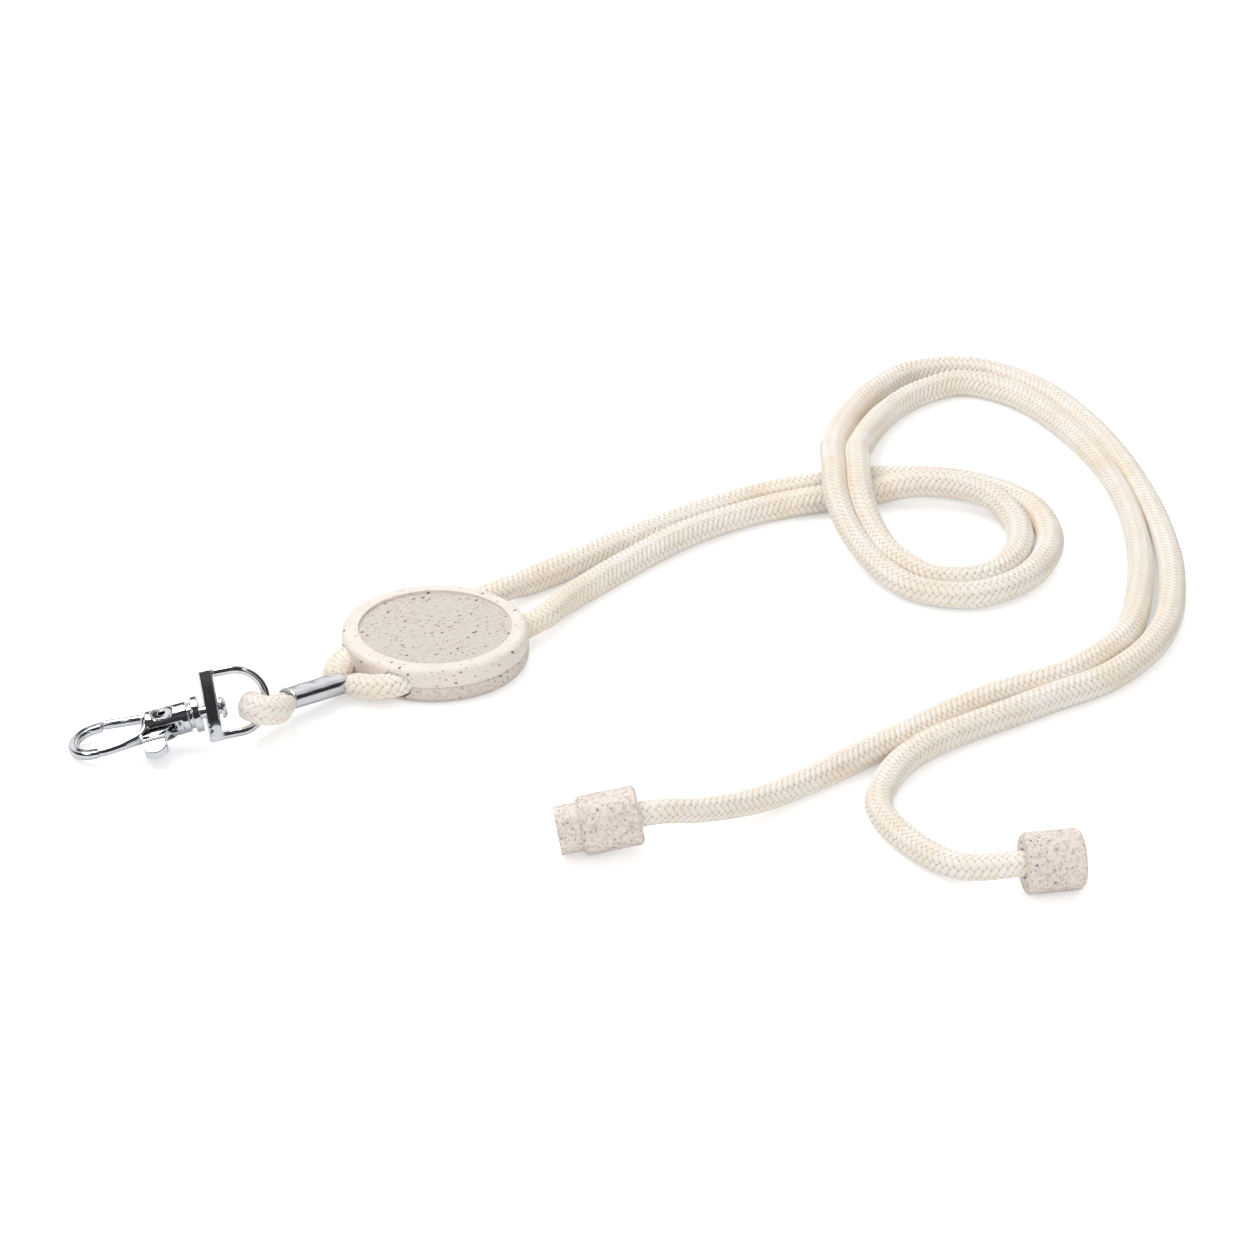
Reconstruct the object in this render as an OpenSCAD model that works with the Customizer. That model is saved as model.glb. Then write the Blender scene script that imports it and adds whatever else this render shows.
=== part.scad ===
// Neck lanyard: braided rope, round slider, crushed ferrule, swivel spring hook and breakaway connector.
// The origin is on the table under the slider's centre. +X runs along the slider's rope channels.

/* [Slider] */
// Diameter of the round slider
slider_d = 38; // [36:0.5:42]
// Thickness of the slider
slider_h = 7.7; // [7.4:0.1:9]
// Diameter of the recess in the upper face
recess_d = 31.2; // [28:0.2:32]
// Depth of the recess in the upper face
recess_depth = 0.6; // [0.4:0.1:0.7]
// Distance of each rope channel from the slider's middle
channel_y = 7.4; // [7:0.1:8]
// Width of a rope channel
channel_w = 6.4; // [6.2:0.1:6.6]
// Height of a rope channel
channel_h = 5.2; // [5:0.1:5.4]

/* [Ferrule] */
// Length of the crushed tube
ferrule_l = 13; // [12:0.5:14]
// Width of the crushed tube
ferrule_w = 5.6; // [5.6:0.1:6.4]
// Height of the crushed tube
ferrule_h = 3.2; // [3.2:0.1:3.6]
// Wall of the crushed tube
ferrule_wall = 0.35; // [0.25:0.05:0.35]

/* [Hook] */
// Width of the bow over its centre lines
bow_w = 9.7; // [9.4:0.1:10]
// Width of the bow's bar
bow_bar_d = 2.1; // [1.9:0.1:2.2]
// Height of the bow's bar, which is flattened
bow_bar_h = 1.7; // [1.6:0.1:1.8]
// Reach from the collar's middle to the centre of the bow's round end
bow_reach = 20.3; // [20:0.1:21]
// Length of the housing
housing_l = 8.4; // [8:0.1:8.6]
// Diameter of the housing's barrel
housing_d = 6.2; // [6.2:0.1:6.4]
// Thickness of the housing between its two eyelet seats
housing_t = 4.6; // [4.6:0.1:5.2]
// Diameter of the collar that bears on the ring
collar_d = 7.2; // [6.6:0.1:7.6]
// Thickness of the collar
collar_t = 1.5; // [1.2:0.1:1.5]
// Diameter of the swivel post
post_d = 2.5; // [2.2:0.1:2.6]
// Diameter of the post's round head
post_head_d = 4.4; // [4:0.1:4.8]

/* [Gate] */
// Diameter of the gate rod
rod_d = 1.9; // [1.7:0.1:1.9]
// Thickness of the lever plate
lever_t = 1.6; // [1.4:0.1:1.6]
// Height of the slot that the lever turns in
slot_t = 2; // [1.9:0.1:2.1]
// Outer diameter of the eyelet's barrel
rivet_d = 2.6; // [2.4:0.1:2.8]
// Diameter of the eyelet's flanges
rivet_flange_d = 4.1; // [3.8:0.1:4.4]

/* [D ring] */
// Length of the flat bar, which is the ring's width
ring_w = 14.2; // [14:0.1:15]
// Depth of the flat bar along the ring's own axis
ring_bar = 2.6; // [2.4:0.1:2.6]
// Thickness of the flat bar across the ring's plane
ring_t = 3.6; // [3.4:0.1:4]
// Diameter of the arch's wire
arch_d = 1.7; // [1.6:0.1:1.8]
// Length of the ring from the outer face of its bar to the top of its arch
ring_l = 13.2; // [12.8:0.1:14]

/* [Connectors] */
// Diameter of the male barrel
male_d = 11.4; // [11:0.1:12]
// Length of the male barrel without its plug
male_l = 11.5; // [11:0.5:13]
// Diameter of the plug
plug_d = 9.4; // [9:0.1:9.6]
// Length of the plug
plug_l = 4.4; // [4:0.1:5]
// Diameter of the female barrel
female_d = 11.6; // [11.4:0.1:12]
// Length of the female barrel
female_l = 11; // [10.6:0.2:13]

/* [Hidden] */
$fn = 64;
cut = 0.5;                       // how far a cutting solid runs past the face that it opens
tube_sides = 10;                 // sides of a cord's tube

// Slider
edge_top_r = 1.5;                // round of the upper edge
edge_base_r = 2;                 // round of the lower edge
split_z = slider_h / 2;          // where the two shells meet
seam_w = 0.35;                   // side of the square that bevels each shell's edge at the split
peg_d = 2;
peg_clear = 0.06;
peg_h = 1.8;
peg_x = 9;                       // the pegs stand on the middle line
core_l = 11;                     // hollow between the pegs
core_w = 6;
core_wall = 1.5;                 // what is left between the hollow and the recess

// Ferrule
ferrule_at = [-31.05, 1.72, 4];
ferrule_turn = [-7, 5.3, -2.4];

// Hook: its own axes run from the collar's middle, +X towards the ring, +Z up off the table
hook_at = [-56.5, 6.7, 6.75];
hook_pitch = 12.5;
hook_yaw = -35;
bow_r = bow_w / 2;
bow_v = 0.15;                    // the bow's middle line stands off the collar's
leg_sides = 16;                  // sides of the near leg's loft
leg_route = [                    // near leg from the bow, flaring into the housing: place and diameter
    [-20.8, -4.66, 1.6],
    [-19.4, -4.77, 1.8],
    [-17.9, -4.72, 1.8],
    [-16.4, -4.53, 1.85],
    [-14.8, -4.15, 2],
    [-13, -3.55, 2.35],
    [-11.6, -2.95, 2.9],
    [-10.9, -2.3, 3.6],
    [-10.3, -1.2, 4.8],
    [-9.6, -0.2, 5.9],
    [-8.8, 0, 6]
];
housing_u0 = -10.1;
eyelet_seat_d = 4.4;
neck_d = 5.2;
collar_u = 0.65;                 // the collar's face towards the ring
slot_u0 = -11.9;                 // end of the lever slot in the near leg
slot_u1 = -3.1;                  // closed end of the lever slot
post_fit = 0.02;                 // between the post and the bore that it is pressed in
pivot = [-6.7, -0.6];            // the lever's pivot
rivet_bore_d = 1.5;
rivet_flange_t = 0.4;
rivet_fit = 0.02;
lever_fit = 0.07;
lever_hub_r = 2.2;
rod_root = [-10.4, 3.7];
rod_tip = [-18.9, 5.6];
rod_reach = 13.2;                // from the pivot to the rod's end face
seat_gap = 0.2;                  // between the rod's end and the bow's seat
tab_u0 = -11.5;
tab_u1 = -7;
tab_root_v = -2.2;
tab_v = -8.6;                    // outer face of the thumb pad
pad_v = -4.9;                    // the thumb pad is thick from here outwards
pad_top = 0.8;
pad_lip = -1;                    // the pad's face slopes down to here at its outer edge
pad_t = 3.2;
pad_round_d = 5.6;               // the pad's outer face is part of a cylinder
spring_wire_d = 0.3;
spring_r = 1.75;
spring_turns = 2;
spring_steps = 12;               // rings in one turn
spring_t0 = -1.78;
spring_pitch = 0.32;
spring_pocket_r = 2.15;
spring_pocket_t0 = -2;

// Ring: its own axes run from the bar's middle, +X towards the arch, +Z square to its plane
ring_u = 2.8;                    // the bar's middle on the hook's axis
ring_at = hook_at + ring_u * [
    cos(hook_pitch) * cos(hook_yaw),
    cos(hook_pitch) * sin(hook_yaw),
    sin(hook_pitch)
];
ring_turn = [65, -4, -29];
ring_off = 0.9;                  // the post's hole is this far off the bar's middle
ring_crown_r = 30;               // the bar's two broad faces bulge along its length
crown_sides = 400;
post_clear = 0.1;                // between the post and the ring's bore
head_u = 4.7;                   // inner face of the post's head
head_t = 1.1;
post_root_u = -2.4;
arch_r = (ring_w - arch_d) / 2 - 0.05;
arch_x = ring_l - ring_bar / 2 - arch_d / 2 - arch_r;

// Connectors: each one's own +X runs out of the rope's end
male_at = [-21.8, -81.9, 7.43];
male_turn = [0, 9, 143];
female_at = [18.9, -142.3, 5.8];
female_turn = [0, 0, -34];
barrel_edge = 0.6;
rope_bore_d = 5.8;
stop_bore_d = 7.4;
stop_d = 7.2;
stop_bore_rope_d = 5.4;
rope_end_d = 5.1;                // the rope inside its connector
stop_floor = 1;                  // closed end of an end stop
male_bore_l = 7;                 // rope bore of the male barrel
male_stop_l = 4.5;
female_bore_l = 2.6;
female_stop_l = 3;
socket_d = 9.6;
socket_l = 5.2;
male_rope_in = male_bore_l + male_stop_l - stop_floor;
female_rope_in = female_bore_l + female_stop_l - stop_floor;

// Routes of the rope: x, y, z and the rope's diameter at that point
loop_route = [
    [-24.6, 0.25, 3.55, 2.3],
    [-37.5, 0.8, 4.75, 2.3],
    [-39.7, -0.9, 5.3, 3],
    [-42.3, -2.6, 6.3, 3.8],
    [-45, -3.5, 7.2, 4],
    [-47.5, -2.5, 7.8, 4],
    [-48.3, -0.2, 7.9, 4],
    [-47.5, 1.9, 7.1, 4],
    [-45.5, 2.7, 5.8, 4],
    [-43.6, 1.6, 4.8, 4],
    [-40.6, 2.4, 4.4, 3.4],
    [-37.5, 3.2, 4.45, 2.3],
    [-24.6, 2.65, 3.25, 2.3]
];
front_route = [
    [-24.6, 0.25, 3.55, 2.3],
    [-23.9, 0.22, 3.485, 2.5],
    [-22.6, -2.2, 3.5, 3.8],
    [-20.6, -5.4, 3.7, 4.4],
    [-17, -7.3, 3.85, 4.6],
    [18, -7.4, 3.85, 4.6],
    [24.5, -6.8, 3.8, 4.6],
    [33, -3.8, 3, 5.8],
    [70, 0.2, 3, 6],
    [86, -1.7, 3, 5.7],
    [97, -5, 3, 6],
    [111, -12.4, 3.2, 6],
    [123, -22.3, 5.4, 6],
    [128.2, -34, 5.3, 5.8],
    [124.5, -46.5, 3.6, 6],
    [114, -55, 3, 6],
    [102, -56.4, 3, 5.8],
    [95.1, -50, 3.1, 5.4],
    [94.9, -37.6, 4.3, 5.2],
    [99.2, -27.6, 6, 5.3],
    [104.2, -20, 8.2, 5.5],
    [111, -12.7, 9.2, 5.5],
    [118, -5.7, 8.5, 5.5],
    [126.2, 0.6, 5.8, 6],
    [134.5, 6, 4, 6],
    [146, 11.2, 3, 6],
    [158, 13, 3, 6],
    [169, 10, 3, 6],
    [173.1, -2, 3, 5.8],
    [168.6, -21.6, 3, 5.4],
    [158, -43.2, 3, 5.1],
    [142.1, -64.2, 3, 5.3],
    [122.8, -82.1, 3, 5.8],
    [104, -94, 3, 6],
    [85, -96.6, 3, 6],
    [65, -92.3, 3, 6],
    [38, -90.6, 3, 6],
    [4, -89.3, 3.5, 5.3],
    [-11, -87, 6, 4.9],
    [-18.3, -84.3, 7.7, 5],
    [-21.8, -81.9, 7.43, 5.1]
];
back_route = [
    [-24.6, 2.65, 3.25, 2.3],
    [-23.9, 2.62, 3.185, 2.5],
    [-22.4, 4.8, 3.5, 3.8],
    [-17, 7.4, 3.85, 4.6],
    [24.5, 7.4, 3.8, 4.6],
    [33, 7.6, 3, 5.8],
    [78, 5.4, 3, 5.9],
    [96, 1.9, 3, 5.8],
    [107.3, -2.7, 3, 6],
    [117, -8.3, 3, 6],
    [127, -17, 3, 6],
    [133.3, -28, 3, 6],
    [134, -41, 3, 6],
    [128, -52.3, 3, 6],
    [118, -60.2, 3.2, 6],
    [106, -63.6, 3.3, 5.8],
    [94.8, -60.5, 3.1, 5.8],
    [88.5, -50.6, 3.1, 5.5],
    [89.1, -38.6, 4.3, 5.2],
    [94.2, -25.8, 6.2, 5.3],
    [100.3, -16.2, 8.4, 5.5],
    [107.2, -9, 9.1, 5.5],
    [114.2, -1.8, 8.4, 5.6],
    [124, 6.5, 5, 6],
    [137, 15, 3.2, 6],
    [151, 20.5, 3, 6],
    [165, 21.2, 3, 6],
    [176, 13, 3, 6],
    [179, -3, 3, 5.8],
    [174.6, -20.7, 3, 5.4],
    [164.4, -42, 3, 5.1],
    [148.3, -65.3, 3, 5.3],
    [130.5, -84.3, 3, 5.8],
    [110, -98.7, 3, 6],
    [90, -103.2, 3, 6],
    [70, -100.3, 3, 6],
    [40, -96.7, 3, 5.9],
    [26.5, -100.5, 2.9, 5.8],
    [17, -108, 2.8, 5.5],
    [12.5, -131.5, 3.4, 5.3],
    [18.9, -142.3, 5.8, 5.1]
];

// Unit vector
function unit(v) = v / norm(v);

// Place of a point on a route
function place(p) = [p[0], p[1], p[2]];

// Direction of a route at its point i
function heading(route, i) =
    unit(place(route[min(i + 1, len(route) - 1)]) - place(route[max(i - 1, 0)]));

// Ring of tube points round the point i of a route, square to its heading
function ring(route, i, sides) =
    let (h = heading(route, i))
    let (side = unit(cross([0, 0, 1], h)))
    let (rise = cross(h, side))
    [for (k = [0:sides - 1])
        place(route[i]) + route[i][3] / 2 * (cos(360 * k / sides) * side + sin(360 * k / sides) * rise)];

// Point on a connector's own axis, at a depth inside its barrel
function run_on(at, turn, depth) = concat(
    at + depth * [cos(turn[1]) * cos(turn[2]), cos(turn[1]) * sin(turn[2]), -sin(turn[1])],
    [rope_end_d]
);

// Closed solid through a row of rings with the same number of points
module skin(rings, sides) {
    n = len(rings);
    points = [for (r = rings) each r];
    start = [[for (k = [0:sides - 1]) k]];
    finish = [[for (k = [0:sides - 1]) n * sides - 1 - k]];
    walls = [for (i = [0:n - 2], k = [0:sides - 1], half = [0, 1])
        let (a = i * sides + k)
        let (b = i * sides + (k + 1) % sides)
        half == 0 ? [a, a + sides, b] : [b, a + sides, b + sides]];
    polyhedron(points = points, faces = concat(start, finish, walls), convexity = 8);
}

// Closed tube swept along a route
module tube(route, sides = tube_sides) {
    skin([for (i = [0:len(route) - 1]) ring(route, i, sides)], sides);
}

// Flat outline with round ends: w wide over all and h high
module stadium(w, h) {
    square([w - h, h], center = true);
    for (side = [-1, 1])
        translate([side * (w - h) / 2, 0])
            circle(d = h);
}

// The two rope channels, as solids to cut away
module rope_channels() {
    for (side = [-1, 1])
        translate([0, side * channel_y, split_z])
            rotate([90, 0, 90])
                linear_extrude(slider_d + 2, center = true)
                    stadium(channel_w, channel_h);
}

// Half outline of one shell, from the split to the face, with its round edge and its recess
module shell_outline(edge_r, recess) {
    difference() {
        union() {
            square([slider_d / 2, split_z - edge_r]);
            square([slider_d / 2 - edge_r, split_z]);
            translate([slider_d / 2 - edge_r, split_z - edge_r])
                intersection() {
                    circle(r = edge_r);
                    square(edge_r);
                }
        }
        translate([-cut, split_z - recess])
            square([recess_d / 2 + cut, recess + cut]);
        translate([slider_d / 2, 0])
            rotate(45)
                square(seam_w, center = true);
    }
}

// Hollow between the channels, which keeps the shell's walls even
module core() {
    height = split_z - recess_depth - core_wall;
    translate([-core_l / 2, -core_w / 2, -cut])
        cube([core_l, core_w, height + cut]);
}

module slider_base() {
    color([0.87, 0.82, 0.76]) {
        difference() {
            translate([0, 0, split_z])
                rotate([180, 0, 0])
                    difference() {
                        rotate_extrude()
                            shell_outline(edge_base_r, 0);
                        core();
                    }
            rope_channels();
        }
        for (side = [-1, 1])
            translate([side * peg_x, 0, split_z - cut])
                cylinder(d = peg_d, h = peg_h + cut);
    }
}

module slider_top() {
    color([0.9, 0.85, 0.79])
        difference() {
            translate([0, 0, split_z])
                difference() {
                    rotate_extrude()
                        shell_outline(edge_top_r, recess_depth);
                    core();
                    for (side = [-1, 1])
                        translate([side * peg_x, 0, -cut])
                            cylinder(d = peg_d + 2 * peg_clear, h = peg_h + cut + 0.2);
                }
            rope_channels();
        }
}

module ferrule() {
    color("silver")
        translate(ferrule_at)
            rotate(ferrule_turn)
                rotate([90, 0, 90])
                    linear_extrude(ferrule_l, center = true)
                        difference() {
                            stadium(ferrule_w, ferrule_h);
                            stadium(ferrule_w - 2 * ferrule_wall, ferrule_h - 2 * ferrule_wall);
                        }
}

// The hook's own axes
module at_hook() {
    translate(hook_at)
        rotate([0, -hook_pitch, hook_yaw])
            children();
}

// The ring's own axes
module at_ring() {
    translate(ring_at)
        rotate(ring_turn)
            children();
}

// Straight round bar between two points in one plane, tapering from r0 to r1
module bar(from, to, r0, r1) {
    run = to - from;
    translate([from[0], from[1], 0])
        rotate([0, 0, atan2(run[1], run[0])])
            rotate([0, 90, 0])
                cylinder(r1 = r0, r2 = r1, h = norm([run[0], run[1]]));
}

// Drilled bar of the ring: thickest in its middle
module ring_bar_solid() {
    intersection() {
        translate([-ring_bar / 2, -ring_w / 2, -ring_t])
            cube([ring_bar, ring_w, 2 * ring_t]);
        translate([-ring_bar, 0, ring_t / 2 - ring_crown_r])
            rotate([0, 90, 0])
                cylinder(r = ring_crown_r, h = 2 * ring_bar, $fn = crown_sides);
        translate([-ring_bar, 0, ring_crown_r - ring_t / 2])
            rotate([0, 90, 0])
                cylinder(r = ring_crown_r, h = 2 * ring_bar, $fn = crown_sides);
    }
}

module d_ring() {
    color("silver")
        difference() {
            at_ring() translate([0, ring_off, 0]) {
                ring_bar_solid();
                translate([arch_x, 0, 0])
                    rotate([0, 0, -90])
                        rotate_extrude(angle = 180)
                            translate([arch_r, 0])
                                circle(d = arch_d);
                for (side = [-1, 1])
                    translate([0, side * arch_r, 0])
                        rotate([0, 90, 0])
                            cylinder(d = arch_d, h = arch_x);
            }
            at_hook()
                translate([ring_u, 0, 0])
                    rotate([0, 90, 0])
                        cylinder(d = post_d + 2 * post_clear, h = 3 * ring_bar, center = true);
        }
}

module swivel_post() {
    color("silver")
        at_hook()
            rotate([0, 90, 0]) {
                translate([0, 0, post_root_u])
                    cylinder(d = post_d, h = head_u - post_root_u + head_t / 2);
                translate([0, 0, head_u])
                    rotate_extrude()
                        difference() {
                            square([post_head_d / 2, head_t]);
                            translate([post_head_d / 2, head_t])
                                rotate(45)
                                    square(head_t * 0.8, center = true);
                        }
            }
}

// Section of the bow's bar
module bow_section() {
    intersection() {
        circle(d = bow_bar_d);
        square([bow_bar_d + cut, bow_bar_h], center = true);
    }
}

// Bow, near leg and far leg in the hook's axes
module bow() {
    translate([-bow_reach, bow_v, 0])
        rotate([0, 0, 90])
            rotate_extrude(angle = 180)
                translate([bow_r, 0])
                    bow_section();
    difference() {
        translate([-bow_reach, bow_v + bow_r, 0])
            rotate([90, 0, 90])
                linear_extrude(bow_reach + rod_tip[0] + 1)
                    bow_section();
        translate([pivot[0], pivot[1], -bow_bar_d])
            cylinder(r = rod_reach + seat_gap, h = 2 * bow_bar_d);
    }
    skin([for (p = leg_route)
        [for (k = [0:leg_sides - 1])
            let (a = 360 * k / leg_sides)
            [p[0], p[1] + p[2] / 2 * cos(a), p[2] / 2 * sin(a)]]], leg_sides);
}

// Barrel housing with its neck and collar
module housing() {
    translate([housing_u0, 0, 0])
        rotate([0, 90, 0])
            cylinder(d = housing_d, h = housing_l);
    translate([housing_u0 + housing_l - cut, 0, 0])
        rotate([0, 90, 0])
            cylinder(d = neck_d, h = -housing_u0 - housing_l + cut);
    translate([collar_u - collar_t, 0, 0])
        rotate([0, 90, 0])
            cylinder(d = collar_d, h = collar_t);
}

module hook_body() {
    color("silver")
        at_hook()
            difference() {
                union() {
                    bow();
                    housing();
                }
                translate([slot_u0, -2 * collar_d, -slot_t / 2])
                    cube([slot_u1 - slot_u0, 4 * collar_d, slot_t]);
                translate([pivot[0], pivot[1], -collar_d])
                    cylinder(d = rivet_d + 2 * rivet_fit, h = 2 * collar_d);
                for (side = [-1, 1])
                    translate([pivot[0], pivot[1], side * (housing_t + collar_d) / 2])
                        cylinder(d = eyelet_seat_d, h = collar_d, center = true);
                translate([pivot[0], pivot[1], spring_pocket_t0])
                    cylinder(r = spring_pocket_r, h = -spring_pocket_t0);
                translate([post_root_u - rivet_fit, 0, 0])
                    rotate([0, 90, 0])
                        cylinder(d = post_d + 2 * post_fit, h = 2 * collar_d);
            }
}

module gate_rivet() {
    color("silver")
        at_hook()
            translate([pivot[0], pivot[1], 0])
                difference() {
                    union() {
                        cylinder(d = rivet_d, h = housing_t + rivet_flange_t, center = true);
                        for (side = [-1, 1])
                            translate([0, 0, side * (housing_t + rivet_flange_t) / 2])
                                cylinder(d = rivet_flange_d, h = rivet_flange_t, center = true);
                    }
                    cylinder(d = rivet_bore_d, h = 2 * housing_t, center = true);
                }
}

// Coil round the eyelet's barrel
module gate_spring() {
    steps = spring_turns * spring_steps;
    coil = [for (i = [0:steps])
        let (a = 360 * i / spring_steps)
        [spring_r * cos(a), spring_r * sin(a), spring_pitch * i / spring_steps, spring_wire_d]];
    color("gray")
        at_hook()
            translate([pivot[0], pivot[1], spring_t0])
                tube(coil, 8);
}

// Thick outer end of the lever
module thumb_pad() {
    middle_u = (tab_u0 + tab_u1) / 2;
    intersection() {
        translate([tab_u0, 0, 0])
            rotate([90, 0, 90])
                linear_extrude(tab_u1 - tab_u0)
                    polygon([
                        [pad_v, pad_top],
                        [pad_v, pad_top - pad_t],
                        [tab_v, pad_top - pad_t],
                        [tab_v, pad_lip]
                    ]);
        translate([middle_u, tab_v + pad_round_d / 2, pad_top - pad_t])
            cylinder(d = pad_round_d, h = pad_t);
    }
}

module gate_lever() {
    color("silver")
        at_hook()
            difference() {
                union() {
                    translate([pivot[0], pivot[1], -lever_t / 2])
                        cylinder(r = lever_hub_r, h = lever_t);
                    translate([0, 0, -lever_t / 2])
                        linear_extrude(lever_t)
                            polygon([
                                [pivot[0] + 1.6, pivot[1] - 1.5],
                                [tab_u1, pad_v - 1],
                                [tab_u0, pad_v - 1],
                                [tab_u0, tab_root_v],
                                [rod_root[0] - 0.8, rod_root[1] - 1.2],
                                [rod_root[0] - 0.4, rod_root[1] + 0.5],
                                [pivot[0] - 0.4, pivot[1] + lever_hub_r]
                            ]);
                    intersection() {
                        bar(rod_root, rod_tip, rod_d / 2, rod_d / 2);
                        translate([pivot[0], pivot[1], -rod_d])
                            cylinder(r = rod_reach, h = 2 * rod_d);
                    }
                    thumb_pad();
                }
                translate([pivot[0], pivot[1], -housing_t])
                    cylinder(d = rivet_d + 2 * lever_fit, h = 2 * housing_t);
            }
}

module cord_loop() {
    color([0.95, 0.91, 0.85])
        tube(loop_route);
}

module cord_front() {
    color([0.95, 0.91, 0.85])
        tube(concat(front_route, [run_on(male_at, male_turn, male_rope_in)]));
}

module cord_back() {
    color([0.95, 0.91, 0.85])
        tube(concat(back_route, [run_on(female_at, female_turn, female_rope_in)]));
}

// Each connector's own axes: its rope comes in at the origin
module at_male() {
    translate(male_at)
        rotate(male_turn)
            children();
}

module at_female() {
    translate(female_at)
        rotate(female_turn)
            children();
}

// Solid of revolution about a connector's own X axis, from one list of [start, length, diameter]
module turned(steps) {
    for (s = steps)
        translate([s[0], 0, 0])
            rotate([0, 90, 0])
                cylinder(d = s[2], h = s[1]);
}

// Barrel with bevelled ends
module barrel(d, l) {
    turned([[0, l, d - 2 * barrel_edge]]);
    translate([barrel_edge, 0, 0])
        rotate([0, 90, 0])
            cylinder(d = d, h = l - 2 * barrel_edge);
    for (end = [0, 1])
        translate([end * l, 0, 0])
            rotate([0, 90 - 180 * end, 0])
                cylinder(d1 = d - 2 * barrel_edge, d2 = d, h = barrel_edge);
}

module male_connector() {
    color([0.86, 0.81, 0.77])
        at_male()
            difference() {
                union() {
                    barrel(male_d, male_l);
                    turned([[male_l - cut, plug_l + cut, plug_d]]);
                }
                turned([
                    [-cut, male_bore_l + 2 * cut, rope_bore_d],
                    [male_bore_l, male_l + plug_l, stop_bore_d]
                ]);
            }
}

module female_connector() {
    color([0.86, 0.81, 0.77])
        at_female()
            difference() {
                barrel(female_d, female_l);
                turned([
                    [-cut, female_bore_l + 2 * cut, rope_bore_d],
                    [female_bore_l, female_l, stop_bore_d],
                    [female_l - socket_l, female_l, socket_d]
                ]);
            }
}

// Crimped stop with a blind bore for the rope's end
module end_stop(l, rope_in) {
    difference() {
        turned([[0, l, stop_d]]);
        turned([[-cut, rope_in + cut, stop_bore_rope_d]]);
    }
}

module male_end_stop() {
    color("silver")
        at_male()
            translate([male_bore_l, 0, 0])
                end_stop(male_stop_l, male_stop_l - stop_floor);
}

module female_end_stop() {
    color("silver")
        at_female()
            translate([female_bore_l, 0, 0])
                end_stop(female_stop_l, female_stop_l - stop_floor);
}

slider_base();
slider_top();
ferrule();
d_ring();
swivel_post();
hook_body();
gate_rivet();
gate_spring();
gate_lever();
cord_loop();
cord_front();
cord_back();
male_connector();
male_end_stop();
female_connector();
female_end_stop();
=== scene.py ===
"""Lanyard: braided cotton rope, round slider, two barrel connectors and a swivel snap hook."""

import math

import bpy
import numpy as np
from mathutils import Euler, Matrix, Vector


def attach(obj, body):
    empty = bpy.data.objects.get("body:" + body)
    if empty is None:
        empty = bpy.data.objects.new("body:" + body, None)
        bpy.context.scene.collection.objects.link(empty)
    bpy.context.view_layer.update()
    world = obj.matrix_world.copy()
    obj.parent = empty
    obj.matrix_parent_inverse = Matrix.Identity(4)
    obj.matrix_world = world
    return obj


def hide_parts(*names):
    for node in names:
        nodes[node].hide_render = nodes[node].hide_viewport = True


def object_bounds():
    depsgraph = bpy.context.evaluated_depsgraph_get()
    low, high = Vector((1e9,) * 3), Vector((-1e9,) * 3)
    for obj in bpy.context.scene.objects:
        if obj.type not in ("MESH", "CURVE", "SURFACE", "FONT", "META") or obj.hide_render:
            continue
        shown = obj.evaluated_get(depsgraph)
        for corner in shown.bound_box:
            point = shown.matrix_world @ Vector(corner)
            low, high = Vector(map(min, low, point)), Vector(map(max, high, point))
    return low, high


MM = 0.001  # the routes and sizes below are in millimetres, and the scene is in metres
TAU = 2 * math.pi
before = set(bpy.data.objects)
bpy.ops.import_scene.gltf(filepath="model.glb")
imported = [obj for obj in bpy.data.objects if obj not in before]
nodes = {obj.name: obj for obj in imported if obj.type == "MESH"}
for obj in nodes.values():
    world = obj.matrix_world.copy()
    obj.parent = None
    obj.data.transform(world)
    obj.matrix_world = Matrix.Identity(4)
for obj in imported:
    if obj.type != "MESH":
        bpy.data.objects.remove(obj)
cad_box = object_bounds()
scene = bpy.context.scene

# ---------------------------------------------------------------- camera
cam_data = bpy.data.cameras.new("camera")
cam_data.lens = 134.7
cam_data.sensor_width = 36
cam_data.clip_start = 0.01
cam_data.clip_end = 20
camera = bpy.data.objects.new("camera", cam_data)
camera.location = (-0.5508, -0.6257, 0.4573)
camera.rotation_euler = (math.radians(61.65), 0, math.radians(-44))
scene.collection.objects.link(camera)
scene.camera = camera
scene.view_settings.view_transform = "Standard"
scene.view_settings.look = "None"


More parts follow.
